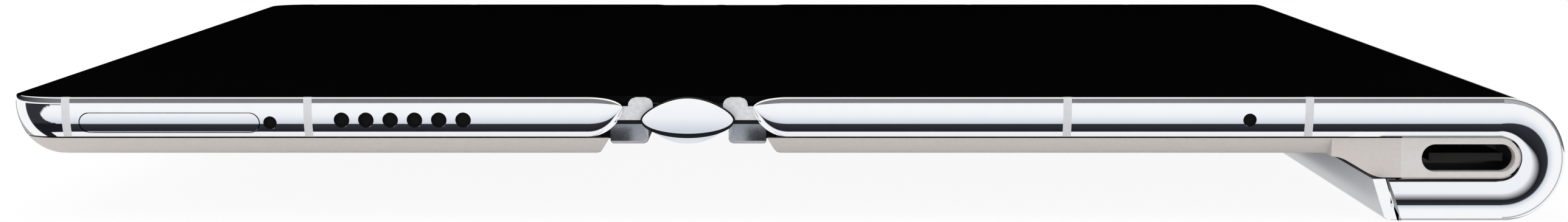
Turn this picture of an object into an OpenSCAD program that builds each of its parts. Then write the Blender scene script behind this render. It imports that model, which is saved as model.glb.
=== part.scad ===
// Foldable smartphone: two flat halves on a geared double-axis hinge, with the display on the
// outside of the fold and a thick grip along one edge.
// Every sub-part is drawn about the hinge line: x runs from the hinge line across the device,
// y along it, and z is 0 at the display's outer face and negative below it.

/* [Body] */
// Length of the device along its hinge line
body_l = 156.5; // [140:0.5:175]
// Hinge line to the outer edge of the plain half
left_w = 60.95; // [56:0.05:70]
// Thickness of one opened half
panel_t = 5.4; // [5.2:0.05:5.45]
// Depth of the grip, which is the thickness of the folded device
grip_t = 11.1; // [11:0.05:12]
// Corner radius of the plain half, seen from above
corner_r = 5; // [4.8:0.1:8]
// Gap between the folded half's edge and the grip
side_gap = 0.3; // [0.2:0.05:0.5]

/* [Frame] */
// Height of the polished frame band
band_h = 3.6; // [3.4:0.05:3.7]
// Thickness of the frame band's wall
band_wall = 2; // [1.7:0.1:2.4]
// Width of the lip that frames the display
lip_w = 0.5; // [0.4:0.05:0.7]
// Depth below the display at which the band stands out most
belly_z = 0.6; // [0.5:0.1:1]
// How far the band's upper edge is drawn in
belly_top = 0.12; // [0.05:0.01:0.3]
// How far the underside's edge is drawn in from the band
belly_in = 4.4; // [3.5:0.1:4.8]
// Thickness of the plate that carries the display
midplate_t = 0.45; // [0.3:0.05:0.6]
// Wall of the leather-covered back covers
cover_wall = 0.8; // [0.6:0.05:1]
// Width of an antenna break in the frame band
antenna_w = 0.75; // [0.5:0.05:1.2]

/* [Display] */
// Thickness of the display laminate
display_t = 0.6; // [0.4:0.05:0.65]
// Facets that each side of the bend is divided into
slats_per_side = 6; // [5:1:7]
// Gap between neighbouring facets of the display
slat_gap = 0.02; // [0.01:0.01:0.04]

/* [Hinge] */
// Depth of the two hinge axes below the display
pin_z = 2.9; // [2.7:0.05:3]
// Radius of the hinge pins
pin_r = 0.45; // [0.35:0.05:0.5]
// Outer radius of the hinge knuckles
knuckle_r = 0.95; // [0.85:0.05:1]
// Running clearance between a pin and the knuckle that turns on it
pin_fit = 0.04; // [0.02:0.01:0.08]
// Half width of the lens-shaped end cap
cap_half_w = 4.05; // [3.8:0.05:4.1]
// Height of the end cap
cap_h = 3.25; // [3:0.05:3.3]
// Teeth of each synchronising gear
gear_teeth = 10; // [10:1:12]
// Face width of the synchronising gears
gear_w = 3; // [2:0.5:4]

/* [Grip] */
// Width of the grip at its root, under the back cover
grip_w = 17.1; // [16:0.1:20]
// Drop from the flat underside to the foot of the fillet that leads into the grip
fillet_drop = 1.9; // [1.6:0.1:2.2]
// Length of that fillet across the device
fillet_w = 4.7; // [4:0.1:5.5]
// How far the grip's inner wall leans
grip_lean = 1.1; // [0.6:0.1:1.5]
// Width of the polished rim of the grip's inner wall
rim_w = 1.15; // [0.9:0.05:1.3]
// Radius of a rear camera's ring
camera_r = 4.1; // [3.5:0.1:4.3]
// Distance between the rear cameras
camera_pitch = 13.5; // [12:0.5:16]
// Rear cameras in the row
cameras = 3; // [1:1:3]

/* [Ports and buttons] */
// Width of the charging port's mouth
port_w = 8.4; // [8.34:0.02:9]
// Height of the charging port's mouth
port_h = 2.5; // [2.4:0.02:2.6]
// Width of the card tray's face
tray_w = 16; // [14:0.5:18]
// Height of the card tray's face
tray_h = 1.7; // [1.5:0.05:1.8]
// Length that the card tray reaches into the body
tray_l = 18; // [15:0.5:24]
// Radius of a loudspeaker hole
speaker_r = 0.7; // [0.4:0.05:0.8]
// Distance between loudspeaker holes
speaker_pitch = 2.17; // [1.8:0.05:2.4]
// Loudspeaker holes in the row
speaker_holes = 6; // [4:1:7]
// Radius of the microphone's hole and of the tray's eject hole
pinhole_r = 0.6; // [0.4:0.05:0.65]
// Length of the power button
power_l = 12; // [9:0.5:16]
// Length of the volume rocker
volume_l = 22; // [18:0.5:28]
// Height of the side buttons
button_h = 2.6; // [2:0.1:3]
// Clearance round a button, the card tray and other pieces that slide
slide_fit = 0.1; // [0.05:0.01:0.15]

/* [Hidden] */
$fn = 48;
eps = 0.01;
fold_r = grip_t / 2;                                    // outer radius of the bent display
slat_turn = 90 / slats_per_side;
slat_w = 2 * fold_r * tan(slat_turn / 2);
flat_x = slats_per_side * slat_w;                       // where the flat display of a half begins
pin_x = fold_r - pin_z;
slide_d = 2 * pin_z + flat_x - 2 * fold_r;              // travel of a half over its hinge arm
right_w = left_w + side_gap + grip_w;                   // hinge line to the grip's outer edge
hinge_x = (left_w - right_w) / 2;
half_l = body_l / 2;

skin_t = 0.8;                                           // outermost layer of the end faces
leaf_t = 0.6;                                           // thickness of the hinge arms' end leaves
gap = 0.05;                                             // between sliding layers
leaf_y = half_l - skin_t - gap;                         // outer face of the end leaves
slat_y = leaf_y - leaf_t - gap;                         // half length of the bending display
core_y = slat_y - 1.9;                                  // half length of the halves' shoulders
wing_y = half_l - band_wall - 0.15;                     // half length of the wing plates

tip_x = flat_x - 2.97;                                  // tip of the frame band at the hinge
tip_z = 1;
tip_len = 3.1;
nose_power = 1.2;                                       // how fast the nose's underside rises to its tip
rim_t = 0.17;                                           // black rim round the end cap
pocket_x = tip_x + slide_d + 1.3;                       // end of the pocket for the hinge leaf
shoulder_r = fold_r - display_t - 0.1;                  // support under the bend
cover_z = band_h + 0.15;                                // top of the back covers
cover_x = flat_x - 1.67;                                // hinge edge of the back covers
cover_slant = 0.6;
plate_z = display_t + 0.02;
cavity_z = plate_z + midplate_t;
plate_key = 0.3;                                        // how far the midplate enters the end bands

wing_top = 2.5;
wing_bottom = 4.1;
wing_in = pin_x + 1.45;
wing_out = cover_x - 0.1;
tongue_out = 12;
tongue_z = 3.6;

display_r_x = right_w - fold_r;                         // right edge of the display
wall_x = right_w - grip_w;                              // root of the grip's inner wall
wall_z = panel_t + fillet_drop;
fillet_x = wall_x + 1.15 - fillet_w;
seam_x = wall_x + 2.65;                                 // seam between back cover and port panel
round_x = display_r_x;                                  // axis of the grip's half-round edge
shell_t = 1.2;
panel_in = half_l - belly_inset(cover_z);               // plane of the end panels

port_x = seam_x + 6.05;
port_z = fold_r;
camera_x = (seam_x + right_w) / 2 - 0.9;
camera_y0 = 0.78 * half_l;
tray_x = -(left_w - 14.65);
tray_z = 2.3;
eject_x = tray_x + tray_w / 2 + 1;
speaker_x = -(left_w - 30.05);
hole_z = 2.05;
mic_x = left_w - 10.75;
antenna_xs = [left_w - 27.05, left_w - corner_r - 0.45];
power_y = 14;
volume_y = 40;
latch_y = 0;
latch_half_l = 3;
latch_z = 8.6;
keeper_in = 0.6;                                        // depth of the keeper below the band's face

station_y = half_l - 20.25;
station_ys = [-station_y, 0, station_y];                // hinge knuckles
gear_y = station_y - 24;
gear_ys = [-gear_y, gear_y];                            // gear trains
lug_l = 4;
arm_l = 6;
gear_r = pin_x / 3;                                     // pitch radius: four gears between the axes
gear_m = 2 * gear_r / gear_teeth;
gear_add = 0.6 * gear_m;
gear_ded = 0.8 * gear_m;
gear_lash = 0.035;
idler_bore = 0.3;

polished = [0.86, 0.87, 0.9];
satin = [0.62, 0.63, 0.65];
leather = [0.8, 0.77, 0.76];
black = [0.03, 0.03, 0.035];
plastic = [0.78, 0.78, 0.8];
steel = [0.5, 0.5, 0.52];
board = [0.08, 0.28, 0.2];
cell = [0.12, 0.12, 0.14];

// ---- places -----------------------------------------------------------------------------------

// Moves a sub-part from the hinge line to the device's own origin
module at_hinge() {
    translate([hinge_x, 0, grip_t]) children();
}

// Draws the same sub-part on the other side of the hinge line
module left_side() {
    mirror([1, 0, 0]) children();
}

// Repeats a sub-part at both ends of the device
module both_ends() {
    children();
    mirror([0, 1, 0]) children();
}

// Stands an outline, drawn across and down the device, along y
module along_y(y0, y1) {
    translate([0, y1, 0]) rotate([90, 0, 0]) linear_extrude(y1 - y0) children();
}

// Stands an outline, drawn inwards and down from an end face, along x
module along_x(x0, x1) {
    translate([x0, -half_l, 0]) rotate([90, 0, 90]) linear_extrude(x1 - x0) children();
}

module block(x0, x1, y0, y1, z0, z1) {
    translate([x0, y0, z0]) cube([x1 - x0, y1 - y0, z1 - z0]);
}

// A block with round corners in plan
module slab(x0, x1, y0, y1, z0, z1, r) {
    translate([0, 0, z0]) linear_extrude(z1 - z0) {
        translate([x0, y0 + r]) square([x1 - x0, y1 - y0 - 2 * r]);
        translate([x0 + r, y0]) square([x1 - x0 - 2 * r, y1 - y0]);
        for (x = [x0 + r, x1 - r], y = [y0 + r, y1 - r]) translate([x, y]) circle(r);
    }
}

// A slot with half-round ends, grown on every side
module stadium(w, h, grow = 0) {
    square([w - h, h + 2 * grow], center = true);
    for (x = [-1, 1]) translate([x * (w - h) / 2, 0]) circle(h / 2 + grow);
}

// A round hole through an end face
module end_hole(x, z, r, depth) {
    translate([x, -half_l + depth, -z]) rotate([90, 0, 0]) cylinder(r = r, h = depth + 1);
}

// ---- the body's outline -----------------------------------------------------------------------

// How far the outer surface lies inside the widest line at a depth below the display
function belly_inset(depth) =
    depth < belly_z
        ? belly_top * (1 - sqrt(1 - pow((belly_z - depth) / belly_z, 2)))
        : belly_in * (1 - sqrt(max(0, 1 - pow((depth - belly_z) / (panel_t - belly_z), 2))));

// Rounded to a ten-thousandth, so that the straight, turned and round stretches meet point to point
function fine(v) = round(v * 10000) / 10000;

// Points of the outer surface between two depths, as [inward, down]
function belly(d0, d1, steps, off = 0) =
    [for (i = [0:steps]) let (d = fine(d0 + (d1 - d0) * i / steps)) [fine(belly_inset(d) + off), -d]];

// Section of the frame band, with the lip round the display and the shelf under it
module band_section() {
    polygon(concat(
        belly(0, band_h, 28),
        [[band_wall, -band_h], [band_wall, -plate_z], [lip_w, -plate_z], [lip_w, 0]]
    ));
}

// The same section as seen by the half-round edge: distance from the outline, and depth inwards
module band_ring_section() {
    polygon([for (p = concat(
        belly(0, band_h, 28),
        [[band_wall, -band_h], [band_wall, 0]]
    )) [fold_r + p[1], p[0]]]);
}

// Section of a back cover's edge: the outer skin, or the hollow inside it
module cover_section(off, floor_z, top_z) {
    polygon(concat(
        belly(top_z, floor_z, 18, off),
        [[corner_r, -floor_z], [corner_r, -top_z]]
    ));
}

// Section of the band's nose at the hinge: a bull nose drawn round the band's tip
module nose_section() {
    polygon(concat(
        [for (a = [90:-6:0]) [tip_x + tip_len - tip_len * cos(a), -tip_z + tip_z * sin(a)]],
        [for (a = [0:6:90]) [tip_x + tip_len - tip_len * cos(a),
                             -tip_z - (band_h - tip_z) * pow(sin(a), nose_power)]],
        [[pocket_x + 1, -band_h], [pocket_x + 1, 0]]
    ));
}

// Near end of a half's band, with its nose
module end_band(x1) {
    along_x(pocket_x, x1) band_section();
    intersection() {
        along_x(tip_x, pocket_x) band_section();
        along_y(-half_l - 1, 0) nose_section();
        union() {
            block(0, pocket_x + 1, -half_l - 1, -leaf_y - gap, -band_h - 1, 1);
            block(0, pocket_x + 1, -half_l - 1, 0, -band_h - 1, -2.75);
        }
    }
}

// ---- frames -----------------------------------------------------------------------------------

// Quarter of the plain half's corner, turned about the corner's axis
module corner_turn() {
    translate([left_w - corner_r, -half_l + corner_r, 0])
        rotate([0, 0, -90]) rotate_extrude(angle = 90) translate([corner_r, 0]) mirror([1, 0, 0]) children();
}

// Plain half's long edge, drawn on the hinge's right and mirrored by its user
module side_run() {
    translate([left_w, -half_l + corner_r, 0]) rotate([90, 0, 180])
        linear_extrude(body_l - 2 * corner_r) children();
}

// The bar beside the bend that carries the display's edge and lets the wing plate slide below it
module shoulder() {
    intersection() {
        block(tip_x + 0.35, pocket_x + 2, -core_y, core_y, -wing_top + gap, -plate_z);
        along_y(-core_y, core_y) union() {
            translate([flat_x, -fold_r]) circle(shoulder_r, $fn = 96);
            translate([flat_x, -wing_top]) square([pocket_x, wing_top]);
        }
        along_y(-core_y, core_y) difference() {
            translate([0, -wing_top]) square([pocket_x + 3, wing_top]);
            translate([flat_x - pin_x, -pin_z]) circle(knuckle_r + slide_fit);
            translate([0, -pin_z - 1]) square([flat_x - pin_x, 1 + knuckle_r + slide_fit]);
        }
    }
}

// Plate under a half's display, its edges keyed into the end bands
module midplate(x1) {
    block(pocket_x, x1, -half_l + band_wall - plate_key, half_l - band_wall + plate_key, -cavity_z, -plate_z);
}

module antenna_slabs(xs) {
    for (x = xs) both_ends() block(x - antenna_w / 2, x + antenna_w / 2, -half_l - 1, -half_l + band_wall,
                                   -band_h - 1, 1);
}

module left_band() {
    both_ends() {
        end_band(left_w - corner_r);
        corner_turn() band_section();
    }
    side_run() band_section();
}

module tray_outline(grow) {
    translate([-tray_x, -tray_z]) stadium(tray_w, tray_h, grow);
}

module left_frame() {
    color(polished) at_hinge() left_side() difference() {
        union() {
            left_band();
            midplate(left_w - band_wall);
            shoulder();
        }
        antenna_slabs(antenna_xs);
        along_y(-half_l - 1, -half_l + band_wall + 1) tray_outline(slide_fit);
        end_hole(-eject_x, tray_z, pinhole_r, 1.2);
        for (i = [0:speaker_holes - 1])
            end_hole(-speaker_x - i * speaker_pitch, hole_z, speaker_r, band_wall + 1);
        block(left_w - keeper_in, left_w + 1, latch_y - latch_half_l - 0.6, latch_y + latch_half_l + 0.6,
              -band_h - 1, -1.5);
        keeper();
    }
}

module left_antenna_bands() {
    color(plastic) at_hinge() left_side() intersection() {
        both_ends() along_x(pocket_x, left_w - corner_r) band_section();
        antenna_slabs(antenna_xs);
    }
}

// U-shaped band of an end face: along the top, round the half-round edge and back below
module u_band() {
    end_band(round_x);
    translate([round_x, -half_l, -fold_r]) rotate([-90, 0, 0]) rotate([0, 0, -90])
        rotate_extrude(angle = 180) band_ring_section();
    intersection() {
        translate([0, 0, -grip_t]) mirror([0, 0, 1]) along_x(wall_x, round_x) polygon(concat(
            belly(0, band_h, 28), [[band_wall, -band_h], [band_wall, 0]]));
        along_y(-half_l - 1, half_l + 1) polygon([
            [wall_x + rim_w + 0.35, -wall_z + 1], [wall_x + rim_w + 0.35, -wall_z],
            [wall_x + rim_w + 0.35 + grip_lean, -grip_t - 1], [right_w, -grip_t - 1],
            [right_w, -wall_z + 1]
        ]);
    }
}

// Long shell of the grip between its two U-shaped bands
module grip_shell() {
    y = half_l - band_wall;
    difference() {
        along_y(-y, y) union() {
            intersection() {
                difference() {
                    translate([round_x, -fold_r]) circle(fold_r, $fn = 96);
                    translate([round_x, -fold_r]) circle(fold_r - shell_t, $fn = 96);
                }
                translate([round_x, -grip_t - 1]) square([fold_r + 1, grip_t + 2]);
            }
            translate([seam_x + 1.5, -grip_t]) square([round_x - seam_x - 1.5, shell_t]);
        }
        grip_window(slide_fit / 2);
        button_cut(power_y, power_l, slide_fit);
        button_cut(volume_y, volume_l, slide_fit);
    }
}

// Recess of the grip's back panel
module grip_window(grow) {
    slab(seam_x + 1.9 - grow, round_x + 1.6 + grow, -0.94 * half_l - grow, 0.94 * half_l + grow,
         -grip_t - 1, -grip_t + skin_t, 2);
}

module button_cut(y, l, grow) {
    translate([right_w - 3, y, -fold_r]) rotate([90, 0, 90])
        linear_extrude(6) stadium(l, button_h, grow);
}

module right_frame() {
    color(polished) at_hinge() difference() {
        union() {
            both_ends() u_band();
            midplate(round_x);
            shoulder();
            grip_shell();
        }
        antenna_slabs(antenna_xs);
        end_hole(mic_x, hole_z, pinhole_r, band_wall + 1);
        camera_bores(camera_r - 0.4);
        translate([0, 0, -0.5]) release_cut(slide_fit);
    }
}

module camera_bores(r) {
    for (i = [0:cameras - 1]) translate([camera_x, camera_y0 - i * camera_pitch, -grip_t - 1])
        cylinder(r = r, h = 3);
}

module release_cut(grow) {
    slab(camera_x - 2 - grow, camera_x + 2 + grow, latch_y - 5 - grow, latch_y + 5 + grow,
         -grip_t - 1, -grip_t + 3, 1.9);
}

module right_antenna_bands() {
    color(plastic) at_hinge() intersection() {
        both_ends() along_x(pocket_x, round_x) band_section();
        antenna_slabs(antenna_xs);
    }
}

// ---- back covers ------------------------------------------------------------------------------

// Near and far edges and the flat of a cover, solid down to floor_z
module cover_body(x0, x1, off, floor_z, top_z) {
    both_ends() along_x(x0, x1) cover_section(off, floor_z, top_z);
    block(x0, x1, -half_l + corner_r, half_l - corner_r, -floor_z, -top_z);
}

module left_cover_body(off, floor_z, top_z, x0) {
    cover_body(x0, left_w - corner_r, off, floor_z, top_z);
    both_ends() corner_turn() cover_section(off, floor_z, top_z);
    side_run() cover_section(off, floor_z, top_z);
    block(left_w - corner_r - 0.5, left_w - corner_r + 0.5, -half_l + corner_r, half_l - corner_r,
          -floor_z, -top_z);
}

// Slanted hinge edge of a cover
module cover_edge_cut() {
    along_y(-half_l, half_l) polygon([
        [cover_x - 2, -cover_z + 1], [cover_x - 0.05, -cover_z + 1], [cover_x, -cover_z],
        [cover_x + cover_slant, -panel_t + 0.55], [cover_x + cover_slant + 0.25, -panel_t + 0.2],
        [cover_x + cover_slant + 0.8, -panel_t - eps], [cover_x - 2, -panel_t - eps]
    ]);
}

module left_back_cover() {
    color(leather) at_hinge() left_side() difference() {
        left_cover_body(0, panel_t, cover_z, cover_x);
        left_cover_body(cover_wall, panel_t - cover_wall, cover_z - 0.01, cover_x - 1);
        cover_edge_cut();
    }
}

// Height of the fillet that leads from the underside into the grip
function fillet_z(x, off) =
    -panel_t + off - fillet_drop * (1 - cos(180 * min(1, max(0, (x - fillet_x) / fillet_w)))) / 2;

module fillet_outline(off, x1) {
    polygon(concat(
        [[fillet_x - eps, -cover_z], [x1, -cover_z]],
        [[x1, -wall_z + off]],
        [for (i = [16:-1:0]) let (x = fillet_x + fillet_w * i / 16) [x + off * 0.6, fillet_z(x, off)]],
        [[fillet_x - eps, -panel_t + off]]
    ));
}

module right_back_cover() {
    color(leather) at_hinge() difference() {
        union() {
            cover_body(cover_x, fillet_x, 0, panel_t, cover_z);
            along_y(-panel_in, panel_in) fillet_outline(0, seam_x);
        }
        cover_body(cover_x - 1, fillet_x, cover_wall, panel_t - cover_wall, cover_z - 0.01);
        along_y(-panel_in + cover_wall, panel_in - cover_wall) union() {
            fillet_outline(cover_wall, seam_x - cover_wall);
            translate([seam_x - 2, -wall_z + cover_wall + 0.4]) square([3, wall_z - cover_z - cover_wall - 0.8]);
        }
        cover_edge_cut();
    }
}

// ---- grip -------------------------------------------------------------------------------------

module end_panel_outline() {
    difference() {
        union() {
            translate([seam_x, -wall_z]) square([round_x - seam_x, wall_z - cover_z]);
            translate([round_x, -(wall_z + cover_z) / 2]) circle((wall_z - cover_z) / 2, $fn = 72);
        }
        children();
    }
}

module end_panel() {
    along_y(-panel_in, -panel_in + 1.5) end_panel_outline() children();
}

module port_panel() {
    color(leather) at_hinge() end_panel() translate([port_x, -port_z]) stadium(port_w, port_h);
}

module far_end_panel() {
    color(leather) at_hinge() mirror([0, 1, 0]) end_panel();
}

module usb_port_shell() {
    color(steel) at_hinge() along_y(-panel_in + 1.5, -panel_in + 8) translate([port_x, -port_z]) difference() {
        stadium(port_w, port_h, 0.3);
        stadium(port_w, port_h);
    }
    color(steel) at_hinge() along_y(-panel_in + 8, -panel_in + 8.4) translate([port_x, -port_z])
        stadium(port_w, port_h, 0.3);
}

module usb_contact_tongue() {
    color(black) at_hinge() block(port_x - 3.3, port_x + 3.3, -panel_in + 1.2, -panel_in + 8,
                                  -port_z - 0.35, -port_z + 0.35);
}

// Leaning wall on the side of the grip that faces the folded half
module grip_inner_wall() {
    top = wall_z + 0.05;
    color(satin) at_hinge() difference() {
        along_y(-half_l + 0.4, half_l - 0.4) polygon([
            [wall_x, -top], [wall_x + rim_w, -top],
            [wall_x + rim_w + grip_lean, -grip_t], [wall_x + grip_lean + 0.35, -grip_t],
            [wall_x + grip_lean, -grip_t + 0.35]
        ]);
        block(wall_x - 2, wall_x + 5, latch_y - latch_half_l - slide_fit, latch_y + latch_half_l + slide_fit,
              -latch_z - 0.4 - slide_fit, -latch_z + 0.4 + slide_fit);
    }
}

module grip_back_panel() {
    color(black) at_hinge() difference() {
        intersection() {
            grip_window(0);
            block(0, right_w, -half_l, half_l, -grip_t, -grip_t + skin_t);
        }
        along_y(-half_l, half_l) difference() {
            translate([round_x, -grip_t - 1]) square([fold_r, 3]);
            translate([round_x, -fold_r]) circle(fold_r, $fn = 96);
        }
        camera_bores(camera_r + 0.02);
        release_cut(slide_fit);
        translate([camera_x, camera_y0 - cameras * camera_pitch + 3, -grip_t - 1]) cylinder(r = 1.8, h = 3);
    }
}

module camera_rings() {
    color(steel) at_hinge() for (i = [0:cameras - 1])
        translate([camera_x, camera_y0 - i * camera_pitch, -grip_t]) difference() {
            cylinder(r = camera_r, h = skin_t);
            translate([0, 0, -1]) cylinder(r = camera_r - 0.8, h = 3);
        }
}

module camera_lenses() {
    color([0.05, 0.06, 0.09]) at_hinge() for (i = [0:cameras - 1])
        translate([camera_x, camera_y0 - i * camera_pitch, -grip_t + 0.1])
            cylinder(r = camera_r - 0.82, h = 0.6);
}

module camera_modules() {
    color(cell) at_hinge() for (i = [0:cameras - 1])
        translate([camera_x, camera_y0 - i * camera_pitch, -grip_t + skin_t]) {
            cylinder(r = camera_r - 0.9, h = 2.4);
            translate([-camera_r + 0.4, -camera_r + 0.4, 2.4])
                cube([2 * camera_r - 0.8, 2 * camera_r - 0.8, 3]);
            translate([-1.5, -1.5, 5.4]) cube([3, 3, 1.4]);
        }
}

module flash_lens() {
    color([0.95, 0.93, 0.8]) at_hinge()
        translate([camera_x, camera_y0 - cameras * camera_pitch + 3, -grip_t + 0.02])
            cylinder(r = 1.78, h = skin_t - 0.02);
}

// A side button: a bar in the half-round edge, with a stem that reaches its switch
module side_button(y, l) {
    intersection() {
        button_cut(y, l, 0);
        along_y(y - l, y + l) translate([round_x, -fold_r]) difference() {
            circle(fold_r, $fn = 96);
            translate([-fold_r, -fold_r]) square([2 * fold_r - 1.5, 2 * fold_r]);
        }
    }
    for (s = [-1, 1]) block(right_w - 2, right_w - 1.4, y + s * l / 3 - 0.6, y + s * l / 3 + 0.6,
                            -fold_r - 0.6, -fold_r + 0.6);
}

module power_button() {
    color(polished) at_hinge() side_button(power_y, power_l);
}

module volume_rocker() {
    color(polished) at_hinge() side_button(volume_y, volume_l);
}

module release_button() {
    color(steel) at_hinge() {
        intersection() {
            release_cut(0);
            block(0, right_w, -half_l, half_l, -grip_t + eps, -grip_t + 1.6);
        }
        block(camera_x - 0.8, camera_x + 0.8, latch_y - 0.8, latch_y + 0.8, -grip_t + 1.6, -grip_t + 1.9);
    }
}

module latch_hook() {
    color(steel) at_hinge() {
        block(left_w - 0.35, wall_x + 3.4, latch_y - latch_half_l, latch_y + latch_half_l,
              -latch_z - 0.4, -latch_z + 0.4);
    }
}

module keeper() {
    block(left_w - keeper_in - 0.8, left_w - keeper_in, latch_y - latch_half_l - 1.5,
          latch_y + latch_half_l + 1.5, -band_h, -1.7);
}

module latch_keeper() {
    color(steel) at_hinge() left_side() keeper();
}

// ---- display ----------------------------------------------------------------------------------

module display_left() {
    color(black) at_hinge() left_side() {
        r = corner_r - lip_w - gap;
        intersection() {
            slab(flat_x + slat_gap / 2 - 2 * r, left_w - lip_w - gap, -half_l + lip_w + gap, half_l - lip_w - gap,
                 -display_t, 0, r);
            block(flat_x + slat_gap / 2, left_w, -half_l, half_l, -display_t, 0);
        }
    }
}

module display_right() {
    color(black) at_hinge() {
        slab(flat_x + slat_gap / 2, display_r_x, -half_l + lip_w + gap, half_l - lip_w - gap, -display_t, 0, 0.3);
    }
}

// One facet of the bend, between two distances from the hinge line
module slat(x0, x1) {
    relief = display_t * tan(slat_turn / 2) + slat_gap;
    color(black) at_hinge() along_y(-slat_y, slat_y) polygon([
        [x0 + slat_gap / 2, 0], [x1 - slat_gap / 2, 0],
        [x1 - slat_gap / 2 - relief, -display_t], [x0 + slat_gap / 2 + relief, -display_t]
    ]);
}

module right_slat(i) {
    slat((i - 0.5) * slat_w, min(i + 0.5, slats_per_side) * slat_w);
}

module left_slat(i) {
    slat(-min(i + 0.5, slats_per_side) * slat_w, -(i - 0.5) * slat_w);
}

module display_slat_centre() {
    slat(-slat_w / 2, slat_w / 2);
}

// ---- hinge ------------------------------------------------------------------------------------

// Lens outline of the end cap, grown or shrunk
module cap_outline(grow) {
    w = cap_half_w + grow;
    tip = 2;
    polygon(concat(
        [for (a = [180:-6:0]) [w * cos(a) * (1 - 0.16 * pow(sin(a), 2)),
                               -tip + (tip - 0.1 + grow * 0.4) * pow(sin(a), 1.25)]],
        [for (a = [-6:-6:-174]) [w * cos(a), -tip + (cap_h - tip + 1.6 * grow) * sin(a)]]
    ));
}

module hinge_end_caps() {
    color(polished) at_hinge() both_ends()
        along_y(-half_l, -half_l + skin_t - 0.1) cap_outline(0);
}

module hinge_cap_rims() {
    color(black) at_hinge() both_ends() {
        along_y(-half_l + 0.15, -half_l + skin_t - 0.1) difference() {
            cap_outline(rim_t);
            cap_outline(0.01);
        }
        along_y(-half_l + skin_t - 0.1, -half_l + skin_t) cap_outline(rim_t);
    }
}

// Section of the spine between the two axes
module spine_section() {
    intersection() {
        translate([0, -fold_r]) circle(shoulder_r, $fn = 96);
        polygon([
            [-2.3, 0], [2.3, 0], [2.3, -1.5], [pin_x - 1.3, -1.8], [pin_x - 1.3, -3.4], [1, -3.85],
            [-1, -3.85], [-pin_x + 1.3, -3.4], [-pin_x + 1.3, -1.8], [-2.3, -1.5]
        ]);
    }
}

// Polished ridge below the end cap
module spine_foot() {
    intersection() {
        translate([0, 0.55]) circle(4.6, $fn = 96);
        translate([-2.6, -4.5]) square([5.2, 1.6]);
    }
}

module hinge_spine() {
    color(satin) at_hinge() difference() {
        union() {
            along_y(-slat_y, slat_y) spine_section();
            along_y(-slat_y, slat_y) translate([-slat_w / 2 + 0.1, -1]) square([slat_w - 0.2, 1 - display_t]);
            both_ends() along_y(-half_l + skin_t, -half_l + skin_t + leaf_t) spine_foot();
            both_ends() along_y(-half_l + skin_t + leaf_t, -core_y) intersection() {
                union() {
                    spine_foot();
                    translate([-1.3, -3.9]) square([2.6, 3]);
                }
                translate([0, -fold_r]) circle(shoulder_r, $fn = 96);
            }
            both_ends() along_y(-half_l + skin_t, -slat_y) translate([-1.3, -3.5]) square([2.6, 2.5]);
            for (y = station_ys, s = [-1, 1]) along_y(y + s * (arm_l + lug_l + 0.2) / 2 - lug_l / 2,
                                                      y + s * (arm_l + lug_l + 0.2) / 2 + lug_l / 2)
                for (x = [-1, 1]) {
                    translate([x * pin_x, -pin_z]) circle(knuckle_r);
                    translate([x * pin_x / 2, -pin_z]) square([pin_x, 2 * knuckle_r], center = true);
                }
        }
        for (x = [-1, 1]) translate([x * pin_x, 0, -pin_z]) rotate([90, 0, 0])
            cylinder(r = pin_r + eps, h = body_l, center = true);
        for (y = station_ys, x = [-1, 1]) translate([x * pin_x, y, -pin_z]) rotate([90, 0, 0])
            cylinder(r = knuckle_r + 0.08, h = arm_l + 0.2, center = true);
        for (y = gear_ys) {
            translate([0, y, -pin_z]) rotate([90, 0, 0]) linear_extrude(gear_w + 0.4, center = true)
                square([2 * pin_x + 2, 2 * (gear_r + gear_add) + 0.3], center = true);
            block(-pin_x, pin_x, y - gear_w / 2 - 0.2, y + gear_w / 2 + 0.2, -5, -pin_z);
            for (x = [-1, 1]) translate([x * gear_r, y, -pin_z]) rotate([90, 0, 0])
                cylinder(r = idler_bore + eps, h = gear_w + 3, center = true);
        }
    }
}

module hinge_pins() {
    color(steel) at_hinge() for (y = station_ys, x = [-1, 1]) translate([x * pin_x, y, -pin_z])
        rotate([90, 0, 0]) cylinder(r = pin_r, h = arm_l + 2 * lug_l + 0.2, center = true);
}

module idler_shafts() {
    color(steel) at_hinge() for (y = gear_ys, x = [-1, 1]) translate([x * gear_r, y, -pin_z])
        rotate([90, 0, 0]) cylinder(r = idler_bore, h = gear_w + 2.6, center = true);
}

// Flank of a gear tooth: an involute, as [radius, half angle in degrees]
function flank_angle(r) =
    let (base = gear_r * cos(20), rr = max(r, base), t = acos(base / rr), t0 = 20)
    90 / gear_teeth - gear_lash / gear_r * 90 / PI
        + (tan(t0) * 180 / PI - t0) - (tan(t) * 180 / PI - t);

function polar(r, a) = [r * cos(a), r * sin(a)];

module gear_outline(turn) {
    r0 = gear_r - gear_ded;
    r1 = gear_r + gear_add;
    polygon([for (k = [0:gear_teeth - 1]) let (a = turn + k * 360 / gear_teeth) each concat(
        [polar(r0, a - flank_angle(r0) - 1)],
        [for (i = [1:4]) let (r = r0 + (r1 - r0) * i / 4) polar(r, a - flank_angle(r))],
        [for (i = [4:-1:1]) let (r = r0 + (r1 - r0) * i / 4) polar(r, a + flank_angle(r))],
        [polar(r0, a + flank_angle(r0) + 1)]
    )]);
}

// Gears face each other tooth to gap along the line of axes
function gear_turn(step) = gear_teeth % 2 == 0 ? (step % 2) * 180 / gear_teeth : 0;

module gear(x, step, bore) {
    for (y = gear_ys) translate([x, y + gear_w / 2, -pin_z]) rotate([90, 0, 0])
        linear_extrude(gear_w) difference() {
            gear_outline(gear_turn(step));
            if (bore > 0) circle(bore);
        }
}

module idler_gears_right() {
    color(steel) at_hinge() gear(gear_r, 1, idler_bore + pin_fit);
}

module idler_gears_left() {
    color(steel) at_hinge() gear(-gear_r, 2, idler_bore + pin_fit);
}

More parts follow.
